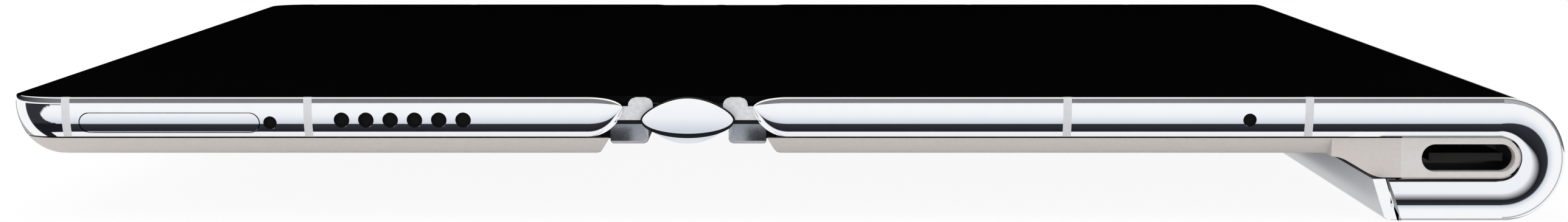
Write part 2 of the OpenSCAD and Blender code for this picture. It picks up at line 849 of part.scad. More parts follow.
// Hinge arms of one side: knuckles on the pins, gears and the leaves beside the end caps
module arm_set() {
    for (y = station_ys) difference() {
        union() {
            along_y(y - arm_l / 2, y + arm_l / 2) translate([pin_x, -pin_z]) circle(knuckle_r);
            block(pin_x, wing_in + 0.8, y - arm_l / 2, y + arm_l / 2, -pin_z - 0.6, -pin_z + 0.4);
        }
        translate([pin_x, y, -pin_z]) rotate([90, 0, 0])
            cylinder(r = pin_r + pin_fit, h = arm_l + 1, center = true);
    }
    for (y = gear_ys) block(pin_x + gear_r * 0.4, wing_in + 0.8, y - gear_w / 2, y + gear_w / 2,
                            -pin_z - 0.6, -pin_z + 0.4);
}

module end_leaf() {
    x0 = cap_half_w - 0.9;
    x1 = tip_x + 0.95;
    along_y(-leaf_y, -leaf_y + leaf_t) {
        intersection() {
            union() {
                translate([x0 + 0.6, -0.75]) circle(0.6);
                translate([x0, -2.1]) square([tip_x - 0.45 - x0, 1.35]);
                translate([x0 + 0.6, -1]) square([tip_x - 1.65 - x0, 0.9]);
                translate([tip_x - 1.05, -0.75]) circle(0.6);
            }
            translate([0, -3]) square([tip_x - 0.45, 3]);
        }
        translate([tip_x - 0.6, -2.1]) square([x1 - tip_x + 0.6, 1.2]);
    }
    block(x1 - 1.9, x1, -leaf_y + leaf_t - eps, -wing_y + 1.1, -2.1, -1.5);
    block(x1 - 1.9, x1, -wing_y + 0.1, -wing_y + 1.1, -wing_top, -1.6);
}

module right_arms() {
    color(satin) at_hinge() {
        arm_set();
        gear(pin_x, 0, pin_r + pin_fit);
        both_ends() end_leaf();
    }
}

module left_arms() {
    color(satin) at_hinge() {
        left_side() {
            arm_set();
            both_ends() end_leaf();
        }
        gear(-pin_x, 3, pin_r + pin_fit);
    }
}

// Wing plate: the visible cover beside the spine and the tongue that slides in the half
module wing_plate() {
    difference() {
        union() {
            along_y(-wing_y, wing_y) polygon([
                [wing_in, -wing_top], [wing_out, -wing_top], [wing_out, -wing_bottom],
                [wing_in - 0.1, -wing_bottom], [wing_in - 0.4, -wing_bottom + 0.25]
            ]);
            block(wing_out - eps, tongue_out, -wing_y + 8, wing_y - 8, -tongue_z, -wing_top - 0.1);
        }
        for (y = station_ys) block(0, wing_in + 0.8 + gap, y - arm_l / 2 - gap, y + arm_l / 2 + gap,
                                   -pin_z - 0.65, 0);
        for (y = gear_ys) block(0, wing_in + 0.8 + gap, y - gear_w / 2 - gap, y + gear_w / 2 + gap,
                                -pin_z - 0.65, 0);
        for (s = [-1, 1], y = [gear_y - 16, gear_y + 12]) translate([tongue_out - 2.5, s * y, 0]) slab(-1, 1, -4, 4, -5, 0, 0.9);
    }
}

module right_wing_plate() {
    color(satin) at_hinge() wing_plate();
}

module left_wing_plate() {
    color(satin) at_hinge() left_side() wing_plate();
}

// ---- inside the halves ------------------------------------------------------------------------

bay_x = tongue_out + slide_d + 1.5;
bay_top = cavity_z + 0.05;
bay_floor = panel_t - cover_wall - 0.05;

module battery(x0, x1, y0, y1) {
    slab(x0, x1, y0, y1, -bay_floor + 0.2, -bay_top, 1.5);
    block(x0 + 4, x1 - 4, y1 - 1, y1 + 2, -bay_top - 1.4, -bay_top);
}

module battery_left() {
    color(cell) at_hinge() left_side() battery(bay_x, left_w - 5.5, -0.6 * half_l, 0.75 * half_l);
}

module battery_right() {
    color(cell) at_hinge() battery(bay_x, fillet_x - 2, -0.85 * half_l, 0.5 * half_l);
}

module mainboard() {
    color(board) at_hinge() difference() {
        union() {
            slab(bay_x, fillet_x + 2, 0.5 * half_l + 4, 0.93 * half_l, -bay_top - 0.8, -bay_top, 1);
            slab(fillet_x - 1.5, round_x - 0.2, 0.25 * half_l, 0.93 * half_l, -bay_top - 0.8, -bay_top, 1);
        }
        for (p = screw_places) translate([p[0], p[1], -5]) cylinder(r = 0.6, h = 5);
    }
}

screw_places = [
    [bay_x + 2, 0.5 * half_l + 6], [fillet_x - 5, 0.91 * half_l], [round_x - 2, 0.28 * half_l]
];

module board_screws() {
    color(steel) at_hinge() for (p = screw_places) translate([p[0], p[1], -bay_top - 1.2]) {
        cylinder(r = 0.58, h = 1.2);
        cylinder(r = 1.1, h = 0.4);
    }
}

module shield_cans() {
    color(steel) at_hinge() {
        slab(bay_x + 4, bay_x + 18, 0.5 * half_l + 8, 0.9 * half_l, -bay_top - 2.2, -bay_top - 0.8, 0.6);
        slab(bay_x + 20, fillet_x - 6, 0.5 * half_l + 8, 0.85 * half_l, -bay_top - 2.2, -bay_top - 0.8, 0.6);
    }
}

module charging_board() {
    color(board) at_hinge() {
        slab(fillet_x + 2, round_x - 0.2, -panel_in + 2, -0.72 * half_l, -bay_top - 0.8, -bay_top, 0.8);
        block(port_x - 4, port_x + 4, -panel_in + 3, -panel_in + 7, -port_z + port_h / 2 + 0.35, -bay_top - 0.8);
    }
}

module vibration_motor() {
    color(steel) at_hinge() {
        translate([camera_x, -0.55 * half_l, -4.9]) rotate([90, 0, 0]) cylinder(r = 2.6, h = 12, center = true);
        block(camera_x - 2, camera_x + 2, -0.55 * half_l - 4, -0.55 * half_l + 4, -4.9, -bay_top);
    }
}

module microphone() {
    color(steel) at_hinge()
        block(mic_x - 1.8, mic_x + 1.8, -half_l + band_wall + 0.05, -half_l + band_wall + 3, -hole_z - 1, -bay_top);
}

module left_board() {
    color(board) at_hinge() left_side() {
        slab(bay_x, left_w - 5.5, 0.75 * half_l + 3, half_l - band_wall - 2, -bay_top - 0.8, -bay_top, 1);
        slab(bay_x, bay_x + 16, 0.75 * half_l + 4, half_l - band_wall - 3, -bay_top - 2, -bay_top - 0.8, 0.6);
    }
}

module speaker_module() {
    x = -speaker_x;
    color(cell) at_hinge() left_side()
        slab(bay_x, x + 3, -half_l + band_wall + 1, -0.64 * half_l, -bay_floor + 0.3, -bay_top, 1);
}

module speaker_mesh() {
    x1 = -speaker_x + 1.5;
    color([0.2, 0.2, 0.22]) at_hinge() left_side()
        block(x1 - (speaker_holes - 1) * speaker_pitch - 3, x1, -half_l + band_wall + 0.02,
              -half_l + band_wall + 0.3, -hole_z - 1, -hole_z + 0.95);
}

module card_reader() {
    w = tray_w + 2;
    color(steel) at_hinge() left_side() translate([-tray_x, 0, 0]) difference() {
        block(-w / 2, w / 2, -half_l + band_wall + 0.1, -half_l + tray_l + 2, -tray_z - 1.1, -bay_top);
        block(-w / 2 + 0.9, w / 2 - 0.9, -half_l, -half_l + tray_l + 0.6, -tray_z - 0.75, -tray_z + 0.75);
    }
}

module card_tray() {
    color(polished) at_hinge() left_side() {
        intersection() {
            along_x(-tray_x - tray_w, -tray_x + tray_w) band_section();
            along_y(-half_l - 1, -half_l + band_wall) tray_outline(0);
        }
        translate([-tray_x, 0, 0]) difference() {
            block(-tray_w / 2 + 0.6, tray_w / 2 - 0.6, -half_l + band_wall - 0.5, -half_l + tray_l,
                  -tray_z - 0.6, -tray_z + 0.6);
            slab(-tray_w / 2 + 1.8, tray_w / 2 - 1.8, -half_l + band_wall + 1.5, -half_l + tray_l - 1.2,
                 -tray_z - 0.2, 0, 1);
        }
    }
}

// ---- assembly ---------------------------------------------------------------------------------

right_frame();
right_back_cover();
display_right();
port_panel();
far_end_panel();
usb_port_shell();
usb_contact_tongue();
grip_inner_wall();
grip_back_panel();
right_antenna_bands();
camera_rings();
camera_lenses();
camera_modules();
flash_lens();
battery_right();
mainboard();
shield_cans();
charging_board();
vibration_motor();
microphone();
board_screws();
power_button();
volume_rocker();
release_button();
latch_hook();
right_arms();
right_wing_plate();
hinge_spine();
hinge_end_caps();
hinge_cap_rims();
hinge_pins();
idler_shafts();
idler_gears_right();
idler_gears_left();
display_slat_centre();
right_slat(1);  // display_slat_r1
right_slat(2);  // display_slat_r2
right_slat(3);  // display_slat_r3
right_slat(4);  // display_slat_r4
right_slat(5);  // display_slat_r5
right_slat(6);  // display_slat_r6
left_slat(1);  // display_slat_l1
left_slat(2);  // display_slat_l2
left_slat(3);  // display_slat_l3
left_slat(4);  // display_slat_l4
left_slat(5);  // display_slat_l5
left_slat(6);  // display_slat_l6
left_arms();
left_wing_plate();
left_frame();
left_back_cover();
display_left();
left_antenna_bands();
battery_left();
speaker_module();
speaker_mesh();
card_reader();
left_board();
latch_keeper();
card_tray();
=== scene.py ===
import math

import bmesh
import bpy
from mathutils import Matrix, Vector


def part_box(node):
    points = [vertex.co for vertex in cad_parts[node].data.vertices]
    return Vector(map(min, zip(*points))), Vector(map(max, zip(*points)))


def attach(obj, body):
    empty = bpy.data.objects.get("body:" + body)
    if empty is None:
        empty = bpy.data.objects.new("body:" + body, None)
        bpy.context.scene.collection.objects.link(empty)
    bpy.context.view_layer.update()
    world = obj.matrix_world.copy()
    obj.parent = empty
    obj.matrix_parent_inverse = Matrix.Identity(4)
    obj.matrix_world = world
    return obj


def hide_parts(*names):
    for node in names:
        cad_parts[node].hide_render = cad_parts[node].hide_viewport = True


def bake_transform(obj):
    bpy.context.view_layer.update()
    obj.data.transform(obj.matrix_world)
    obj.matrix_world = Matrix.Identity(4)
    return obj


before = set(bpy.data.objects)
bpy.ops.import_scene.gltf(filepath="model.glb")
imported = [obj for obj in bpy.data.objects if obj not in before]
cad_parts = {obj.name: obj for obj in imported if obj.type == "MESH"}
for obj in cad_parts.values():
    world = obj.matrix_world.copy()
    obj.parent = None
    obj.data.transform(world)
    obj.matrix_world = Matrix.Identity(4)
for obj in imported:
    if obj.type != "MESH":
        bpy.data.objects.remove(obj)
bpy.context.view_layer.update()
scene = bpy.context.scene
scene.view_settings.view_transform = "Standard"

# ---- Camera ------------------------------------------------------------------------------------
# The device is seen from just in front of its near end, a little above the display, with a long
# lens. The frame is 2576 px wide.
frame_px = 2576
focal_px = 5325
sensor_mm = 36
camera_tilt = 4.925
near_limit = 0.01
camera = bpy.data.objects.new("camera", bpy.data.cameras.new("camera"))
scene.collection.objects.link(camera)
camera.data.sensor_width = sensor_mm
camera.data.lens = focal_px / frame_px * sensor_mm
camera.data.clip_start = near_limit
camera.location = (-0.0001, -0.36625, 0.0347)
camera.rotation_euler = (math.radians(90 - camera_tilt), 0, 0)
scene.camera = camera

# ---- Studio ------------------------------------------------------------------------------------
# A white surround and a white floor, one broad soft lamp overhead, and cards that only show in
# polished metal and glass. The horizon card hangs far off, as a photographer hangs one round a shiny
# product; the rest stand just off the metal, so their tones are painted reflections laid onto it.
MM = 0.001
sky_level = 0.8
floor_white = (0.93, 0.93, 0.93, 1)
floor_shown = 0.93
lamp_size, lamp_watts = 0.9, 4.0

world = bpy.data.worlds.new("studio_surround")
scene.world = world
world.use_nodes = True
nodes, links = world.node_tree.nodes, world.node_tree.links
nodes.clear()
shown = nodes.new("ShaderNodeBackground")
lighting = nodes.new("ShaderNodeBackground")
lighting.inputs["Strength"].default_value = sky_level
for background in (shown, lighting):
    background.inputs["Color"].default_value = (1, 1, 1, 1)
path = nodes.new("ShaderNodeLightPath")
seen = nodes.new("ShaderNodeMath")
seen.operation = "MAXIMUM"
seen_too = nodes.new("ShaderNodeMath")
seen_too.operation = "MAXIMUM"
mix = nodes.new("ShaderNodeMixShader")
out = nodes.new("ShaderNodeOutputWorld")
links.new(path.outputs["Is Camera Ray"], seen.inputs[0])
links.new(path.outputs["Is Glossy Ray"], seen.inputs[1])
links.new(seen.outputs[0], seen_too.inputs[0])
links.new(path.outputs["Is Transmission Ray"], seen_too.inputs[1])
links.new(seen_too.outputs[0], mix.inputs[0])
links.new(lighting.outputs[0], mix.inputs[1])
links.new(shown.outputs[0], mix.inputs[2])
links.new(mix.outputs[0], out.inputs[0])

floor_material = bpy.data.materials.new("floor_paper")
floor_material.use_nodes = True
nodes, links = floor_material.node_tree.nodes, floor_material.node_tree.links
nodes.clear()
paper = nodes.new("ShaderNodeBsdfDiffuse")
paper.inputs["Color"].default_value = floor_white
glow = nodes.new("ShaderNodeEmission")
glow.inputs["Color"].default_value = (1, 1, 1, 1)
path = nodes.new("ShaderNodeLightPath")
camera_share = nodes.new("ShaderNodeMath")
camera_share.operation = "MULTIPLY"
camera_share.inputs[1].default_value = floor_shown
seen = nodes.new("ShaderNodeMath")
seen.operation = "MAXIMUM"
mix = nodes.new("ShaderNodeMixShader")
out = nodes.new("ShaderNodeOutputMaterial")
links.new(path.outputs["Is Camera Ray"], camera_share.inputs[0])
links.new(camera_share.outputs[0], seen.inputs[0])
links.new(path.outputs["Is Glossy Ray"], seen.inputs[1])
links.new(seen.outputs[0], mix.inputs[0])
links.new(paper.outputs[0], mix.inputs[1])
links.new(glow.outputs[0], mix.inputs[2])
links.new(mix.outputs[0], out.inputs[0])

floor_half = 3.0
floor_z = -0.0001
floor_mesh = bpy.data.meshes.new("floor")
bm = bmesh.new()
bmesh.ops.create_grid(bm, x_segments=8, y_segments=8, size=floor_half)
bm.to_mesh(floor_mesh)
bm.free()
floor = bpy.data.objects.new("floor", floor_mesh)
floor.location = (0, 0, floor_z)
floor.data.materials.append(floor_material)
scene.collection.objects.link(floor)

lamp = bpy.data.objects.new("overhead_lamp", bpy.data.lights.new("overhead_lamp", "AREA"))
lamp.data.size = lamp_size
lamp.data.energy = lamp_watts
lamp.location = (-0.25, -0.35, 0.8)
lamp.rotation_euler = (Vector((0, 0, 0)) - lamp.location).to_track_quat("-Z", "Y").to_euler()
lamp.visible_glossy = False
scene.collection.objects.link(lamp)

card_material = bpy.data.materials.new("reflection_card")
card_material.use_nodes = True
nodes, links = card_material.node_tree.nodes, card_material.node_tree.links
nodes.clear()
shade = nodes.new("ShaderNodeAttribute")
shade.attribute_name = "shade"
glow = nodes.new("ShaderNodeEmission")
out = nodes.new("ShaderNodeOutputMaterial")
links.new(shade.outputs["Color"], glow.inputs["Color"])
links.new(glow.outputs[0], out.inputs[0])


def reflection_card(name, rows, shades):
    """A card through rows of points, each point with its own grey or colour of painted reflection; only
    gloss sees it.
    """
    mesh = bpy.data.meshes.new(name)
    width = len(rows[0])
    faces = [(r * width + c, r * width + c + 1, (r + 1) * width + c + 1, (r + 1) * width + c)
             for r in range(len(rows) - 1) for c in range(width - 1)]
    mesh.from_pydata([p for row in rows for p in row], [], faces)
    tint = mesh.color_attributes.new("shade", "FLOAT_COLOR", "POINT")
    flat = [s for row in shades for s in row]
    for i, s in enumerate(flat):
        tint.data[i].color = (*s, 1)
    mesh.materials.append(card_material)
    card = bpy.data.objects.new(name, mesh)
    scene.collection.objects.link(card)
    card.visible_camera = False
    card.visible_diffuse = False
    card.visible_shadow = False
    card.visible_transmission = False
    return card


half_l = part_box("right_frame")[1].y
right_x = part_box("right_frame")[1].x
left_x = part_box("left_frame")[0].x
top_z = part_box("display_left")[1].z
bend_r = top_z / 2
grip_axis_x = right_x - bend_r
corner_r = 5.0 * MM

white, pearl, cool, slate = (1, 1, 1), (0.93, 0.95, 0.98), (0.66, 0.7, 0.77), (0.011, 0.012, 0.016)
charcoal, dim = (0.032, 0.034, 0.042), (0.42, 0.43, 0.45)
card_gap = 0.4 * MM
# Height above the floor in mm, and what the band's front sees there, from its foot to its top
band_stops = [(0.05, white), (0.9, pearl), (1.3, dim), (1.9, dim), (2.4, pearl), (5.6, pearl),
              (5.8, slate), (7.9, charcoal), (8.05, cool), (9.2, pearl), (9.9, white), (10.46, white)]
rim_stops = [(0.05, white), (5.6, white), (6.15, pearl), (8.0, cool), (9.2, pearl), (10.46, white),
             (11.0, white)]
wall_rim_stops = [(0.05, white), (5.4, white)] + band_stops[5:]
leg_stops = [(0.05, white), (0.84, white), (1.09, pearl), (1.46, cool), (1.52, charcoal), (2.06, slate),
             (3.01, pearl)] + band_stops[5:]


def tone_at(stops, height):
    """The tone between two stops."""
    for (low, a), (high, b) in zip(stops, stops[1:]):
        if height <= high:
            share = min(1, max(0, (height - low) / (high - low)))
            return tuple(p + (q - p) * share for p, q in zip(a, b))
    return stops[-1][1]


def wall_card(name, route, stops):
    """A standing card along floor points, with the same stops all along."""
    rows = [[(x, y, z * MM) for z, _ in stops] for x, y in route]
    return reflection_card(name, rows, [[tone for _, tone in stops] for _ in route])


# Round the corner the painted reflection's bright stripe ends like a bullet, then come a dark upright and a
# bright one
corner_steps, corner_levels = 60, 70
bullet_tip, bullet_len, upright_end, outline_from = 26, 25, 48, 82
bullet_low, bullet_high, outline_len = 8.0, 10.46, 1.5 * MM
hinge_x = (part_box("hinge_spine")[0].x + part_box("hinge_spine")[1].x) / 2
lens_reach = 5.2 * MM
wall_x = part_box("grip_inner_wall")[0].x
leg_from = wall_x + 1.75 * MM
ring_x = grip_axis_x + 0.12 * MM


def corner_tone(angle, height):
    """What the corner sees at an angle round it and a height."""
    if angle > upright_end:
        return dim if angle > outline_from else white
    middle, half = (bullet_low + bullet_high) / 2, (bullet_high - bullet_low) / 2
    swell = 1 - min(1, abs(height - middle) / half) ** 2
    tip = bullet_tip - bullet_len * (1 - math.sqrt(swell))
    if height > bullet_low and angle < tip:
        return tone_at(band_stops, height)
    if height < band_stops[5][0] and angle < bullet_tip:
        return tone_at(band_stops, height)
    return charcoal if height > bullet_low else slate


for side, end in (("near", -1), ("far", 1)):
    turn = corner_r + card_gap
    card_y = end * (half_l + card_gap)
    cx, cy = left_x + corner_r, end * (half_l - corner_r)
    for name, x0, x1, stops in (("left", hinge_x - lens_reach, cx, band_stops),
                                ("lens", hinge_x - lens_reach, hinge_x + lens_reach, rim_stops),
                                ("right", hinge_x + lens_reach, wall_x - MM, band_stops),
                                ("wall_rim", wall_x - MM, leg_from, wall_rim_stops),
                                ("leg", leg_from, ring_x, leg_stops)):
        wall_card(f"{side}_{name}_card", [(x0, card_y), (x1, card_y)], stops)
    angles = [90 * i / corner_steps for i in range(corner_steps + 1)]
    levels = [0.05 + (bullet_high - 0.05) * i / corner_levels for i in range(corner_levels + 1)]
    rows = [[(cx - turn * math.sin(math.radians(a)), cy + end * turn * math.cos(math.radians(a)), z * MM)
             for z in levels] for a in angles]
    reflection_card(f"{side}_corner_card", rows, [[corner_tone(a, z) for z in levels] for a in angles])
    # A dim upright card beside the corner paints the grey outline reflected along the band's side edge
    side_x, outline_y = left_x - card_gap, cy - end * outline_len
    wall_card(f"{side}_outline_card", [(side_x, cy), (side_x, outline_y)], [(0.05, dim), (bullet_high, dim)])
    wall_card(f"{side}_side_card", [(side_x, outline_y), (side_x, 0)], band_stops)

# Round the grip's half-round edge the painted dark reflection swells and thins: its outer edge, where it is
# darkest to, and where it has faded, in mm from the edge's axis, every 45 degrees from top to foot
dark_outer = (2.43, 3.43, 3.84, 4.0, 4.03)
dark_inner = (0.25, 0.55, 2.71, 3.45, 3.49)
dark_faded = (0.05, 0.35, 1.69, 2.4, 2.54)
ring_steps, ring_levels, ring_r = 60, 90, 5.5
ring_white = 4.91


def along(values, turned):
    """A value between those given every 45 degrees, turned from 0 at the top to 180 at the foot."""
    i = min(len(values) - 2, int(turned // 45))
    t = turned / 45 - i
    p1, p2 = values[i], values[i + 1]
    p0, p3 = values[max(0, i - 1)], values[min(len(values) - 1, i + 2)]
    return p1 + t * (p2 - p0 + t * (2 * p0 - 5 * p1 + 4 * p2 - p3 + t * (3 * (p1 - p2) + p3 - p0))) / 2


def ring_tone(turned, r):
    """What the half-round edge sees at a turn from the top and a distance from its axis."""
    outer, inner, faded = (along(v, turned) for v in (dark_outer, dark_inner, dark_faded))
    inner, faded = max(inner, 0.25), max(faded, 0.05)
    outline = ring_white + 0.04 + 0.36 * min(1, turned / 60)
    return tone_at([(faded, pearl), (inner, slate), (outer - 0.03, charcoal), (outer + 0.06, cool),
                    (outer + (ring_white - outer) * 0.49, pearl),
                    (outer + (ring_white - outer) * 0.77, white),
                    (outline, white), (outline + 0.03, dim)], r)


for side, end in (("near", -1), ("far", 1)):
    card_y = end * (half_l + card_gap)
    turned = [180 * i / ring_steps for i in range(ring_steps + 1)]
    radii = [0.02 + (ring_r - 0.02) * i / ring_levels for i in range(ring_levels + 1)]
    rows = [[(ring_x + r * MM * math.sin(math.radians(t)), card_y,
              bend_r + r * MM * math.cos(math.radians(t))) for r in radii] for t in turned]
    reflection_card(f"{side}_ring_card", rows, [[ring_tone(t, r) for r in radii] for t in turned])

    # A dim card on the floor along the grip's foot is painted contact shade for the band's lowest edge to
    # reflect
    reflection_card(f"{side}_foot_shade_card",
                    [[(x, y, 0.02 * MM) for x in (leg_from, right_x)] for y in (end * half_l, card_y)],
                    [[dim] * 2] * 2)

# Under the device the floor lies in shade, deeper towards the far end: this dark card is painted shade for
# the metal to reflect there
shade_rows = [(-0.9, 0.75), (-0.5, 0.4), (0.0, 0.14), (0.6, 0.05), (1.0, 0.04)]
shade_sides = (left_x + corner_r, wall_x - 0.4 * MM)
reflection_card(
    "under_card",
    [[(x, y * half_l, 0.2 * MM) for x in shade_sides] for y, _ in shade_rows]
    + [[(x, half_l, 4.9 * MM) for x in shade_sides]],
    [[(s, s, s * 1.04)] * 2 for _, s in shade_rows] + [[(0.04, 0.04, 0.042)] * 2])

# Horizon: a low dark wall far round the device, blackest behind it, grey towards the camera
horizon_r, horizon_h = 0.5, 0.22
horizon = [math.radians(a) for a in range(0, 361, 6)]
horizon_shade = [0.11 * (1 - math.sin(a)) ** 2 / 2 for a in horizon]
reflection_card(
    "horizon_card",
    [[(horizon_r * math.cos(a), horizon_r * math.sin(a), z) for z in (0.0, horizon_h)] for a in horizon],
    [[(s, s, s * 1.05)] * 2 for s in horizon_shade])


# ---- Polished frames ---------------------------------------------------------------------------
# Each half is carried by an aluminium band, machined from one bar and polished. Its face bulges
# out and draws in towards the back cover, and its ends at the hinge are bull noses.
belly_z = 0.6 * MM
belly_top = 0.12 * MM
belly_in = 4.4 * MM
panel_t = 5.4 * MM
band_h = 3.6 * MM
band_wall = 2.0 * MM
skin_t = 0.8 * MM
lip_w = 0.5 * MM
shelf_z = 0.62 * MM
section_steps = 44

grain_group = bpy.data.node_groups.new("fine_grain", "ShaderNodeTree")
face = grain_group.interface
face.new_socket("Scale", in_out="INPUT", socket_type="NodeSocketFloat").default_value = 2000
face.new_socket("Detail", in_out="INPUT", socket_type="NodeSocketFloat").default_value = 3
face.new_socket("Height", in_out="OUTPUT", socket_type="NodeSocketFloat")
face.new_socket("Speckle", in_out="OUTPUT", socket_type="NodeSocketFloat")
nodes, links = grain_group.nodes, grain_group.links
group_in, group_out = nodes.new("NodeGroupInput"), nodes.new("NodeGroupOutput")
coords = nodes.new("ShaderNodeTexCoord")
noise = nodes.new("ShaderNodeTexNoise")
cells = nodes.new("ShaderNodeTexVoronoi")
cells.feature = "SMOOTH_F1"
blend = nodes.new("ShaderNodeMix")
blend.data_type = "FLOAT"
blend.inputs["Factor"].default_value = 0.5
for texture in (noise, cells):
    links.new(coords.outputs["Object"], texture.inputs["Vector"])
    links.new(group_in.outputs["Scale"], texture.inputs["Scale"])
links.new(group_in.outputs["Detail"], noise.inputs["Detail"])
links.new(noise.outputs["Fac"], blend.inputs["A"])
links.new(cells.outputs["Distance"], blend.inputs["B"])
links.new(blend.outputs["Result"], group_out.inputs["Height"])
links.new(noise.outputs["Fac"], group_out.inputs["Speckle"])


def finish_material(name, color, dark, roughness, rough_spread=0.0, metallic=0.0, grain=2000,
                    detail=3, bump=0.0, coat=0.0, specular=0.5, sheen=0.0):
    """A finish whose colour, roughness and relief vary with the fine grain."""
    material = bpy.data.materials.new(name)
    material.use_nodes = True
    nodes, links = material.node_tree.nodes, material.node_tree.links
    shader = nodes["Principled BSDF"]
    shader.inputs["Metallic"].default_value = metallic
    shader.inputs["Coat Weight"].default_value = coat
    shader.inputs["Coat Roughness"].default_value = 0.05
    shader.inputs["Specular IOR Level"].default_value = specular
    shader.inputs["Sheen Weight"].default_value = sheen
    group = nodes.new("ShaderNodeGroup")
    group.node_tree = grain_group
    group.inputs["Scale"].default_value = grain
    group.inputs["Detail"].default_value = detail
    tone = nodes.new("ShaderNodeMix")
    tone.data_type = "RGBA"
    tone.inputs["A"].default_value = (*dark, 1)
    tone.inputs["B"].default_value = (*color, 1)
    links.new(group.outputs["Speckle"], tone.inputs["Factor"])
    links.new(tone.outputs["Result"], shader.inputs["Base Color"])
    rough = nodes.new("ShaderNodeMapRange")
    rough.inputs["To Min"].default_value = roughness - rough_spread
    rough.inputs["To Max"].default_value = roughness + rough_spread
    links.new(group.outputs["Speckle"], rough.inputs["Value"])
    links.new(rough.outputs["Result"], shader.inputs["Roughness"])
    if bump:
        relief = nodes.new("ShaderNodeBump")
        relief.inputs["Distance"].default_value = bump
        links.new(group.outputs["Height"], relief.inputs["Height"])
        links.new(relief.outputs["Normal"], shader.inputs["Normal"])
    return material


polish = finish_material("polished_aluminium", (0.93, 0.935, 0.95), (0.9, 0.905, 0.925), 0.07, 0.02,
                         metallic=1.0, grain=700, detail=5)


def dress(node, material):
    """Gives a node of the frame its finish, with its flats kept crisp and its rounds smooth."""
    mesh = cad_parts[node].data
    mesh.materials.clear()
    mesh.materials.append(material)
    mesh.shade_smooth()
    mesh.set_sharp_from_angle(angle=math.radians(32))


# The band's inner side stays clear of the hinge's end leaves, whose foot is this far down, and the
# metal is nowhere thinner than this
leaf_foot, wall_least = 2.2 * MM, 0.1 * MM


def belly_inset(depth):
    """How far the band's face lies inside its widest line at a depth below the display."""
    if depth < belly_z:
        return belly_top * (1 - math.sqrt(1 - ((belly_z - depth) / belly_z) ** 2))
    return belly_in * (1 - math.sqrt(1 - ((depth - belly_z) / (panel_t - belly_z)) ** 2))


def band_row(origin, inward, top, foot, wall, inner, extra=0.0):
    """One section of the band: down its face from top to foot, and back up inside."""
    row = []
    for i in range(section_steps + 1):
        share = (i / section_steps) ** 1.3
        depth = top + (foot - top) * share
        row.append((depth, min(belly_inset(share * band_h) + extra,
                               wall - wall_least + max(0, depth - leaf_foot))))
    row.append((foot, max(wall, row[-1][1] + wall_least)))
    row.append((min(leaf_foot, (top + foot) / 2), wall))
    row += inner
    return [(origin[0] + inward[0] * d, -half_l + y, origin[1] + inward[1] * d) for d, y in row]


def loft(rows, cap_first=True, cap_last=True):
    """A closed skin through rows of points, as a bmesh."""
    skin = bmesh.new()
    rings = [[skin.verts.new(p) for p in row] for row in rows]
    for a, b in zip(rings, rings[1:]):
        for i in range(len(a)):
            j = (i + 1) % len(a)
            skin.faces.new((a[i], a[j], b[j], b[i]))
    if cap_first:
        skin.faces.new(rings[0])
    if cap_last:
        skin.faces.new(list(reversed(rings[-1])))
    bmesh.ops.remove_doubles(skin, verts=skin.verts, dist=1e-7)
    bmesh.ops.dissolve_degenerate(skin, dist=1e-7, edges=skin.edges)
    bmesh.ops.recalc_face_normals(skin, faces=skin.faces)
    if skin.calc_volume(signed=True) < 0:
        bmesh.ops.reverse_faces(skin, faces=skin.faces)
    return skin


def piece_of(name, parts, material, body=None, smooth=32):
    """Joins bmeshes into one object with a finish, riding on a body."""
    mesh = bpy.data.meshes.new(name)
    whole = bmesh.new()
    for part in parts:
        part.to_mesh(mesh)
        whole.from_mesh(mesh)
        part.free()
    whole.to_mesh(mesh)
    whole.free()
    mesh.materials.clear()
    mesh.materials.append(material)
    mesh.shade_smooth()
    mesh.set_sharp_from_angle(angle=math.radians(smooth))
    piece = bpy.data.objects.new(name, mesh)
    scene.collection.objects.link(piece)
    if body:
        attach(piece, body)
    return piece


def cut(skin, cutters):
    """The skin with closed cutters taken out of it."""
    base_mesh, tool_mesh = bpy.data.meshes.new("base"), bpy.data.meshes.new("tool")
    skin.to_mesh(base_mesh)
    joined = bmesh.new()
    for cutter in cutters:
        cutter.to_mesh(tool_mesh)
        joined.from_mesh(tool_mesh)
        cutter.free()
    joined.to_mesh(tool_mesh)
    joined.free()
    base = bpy.data.objects.new("base", base_mesh)
    tool = bpy.data.objects.new("tool", tool_mesh)
    for o in (base, tool):
        scene.collection.objects.link(o)
    boolean = base.modifiers.new("cut", "BOOLEAN")
    boolean.object = tool
    boolean.operation = "DIFFERENCE"
    boolean.solver = "EXACT"
    result = base.evaluated_get(bpy.context.evaluated_depsgraph_get()).to_mesh()
    skin.clear()
    skin.from_mesh(result)
    for o in (base, tool):
        bpy.data.objects.remove(o)
    return skin


def mirrored(skin, axis):
    """A copy of the skin, mirrored across the plane where axis is 0."""
    twin = skin.copy()
    for v in twin.verts:
        v.co[axis] = -v.co[axis]
    bmesh.ops.reverse_faces(twin, faces=twin.faces)
    return twin


def box_skin(x0, x1, y0, y1, z0, z1):
    """A block between two corners, for cutting slots and for plates."""
    skin = bmesh.new()
    bmesh.ops.create_cube(skin, size=1)
    for v in skin.verts:
        v.co = (x0 if v.co.x < 0 else x1, y0 if v.co.y < 0 else y1, z0 if v.co.z < 0 else z1)
    return skin


def outline_skin(points, y0, y1):
    """An outline in x and z, stood along y."""
    return loft([[(x, y0, z) for x, z in points], [(x, y1, z) for x, z in points]])


def stadium_points(x, z, w, h, steps=16):
    """A slot outline with half-round ends."""
    points = []
    for side in (1, -1):
        for i in range(steps + 1):
            a = math.radians(-90 + 180 * i / steps)
            points.append((x + side * ((w - h) / 2 + h / 2 * math.cos(a)),
                           z + side * h / 2 * math.sin(a)))
    return points


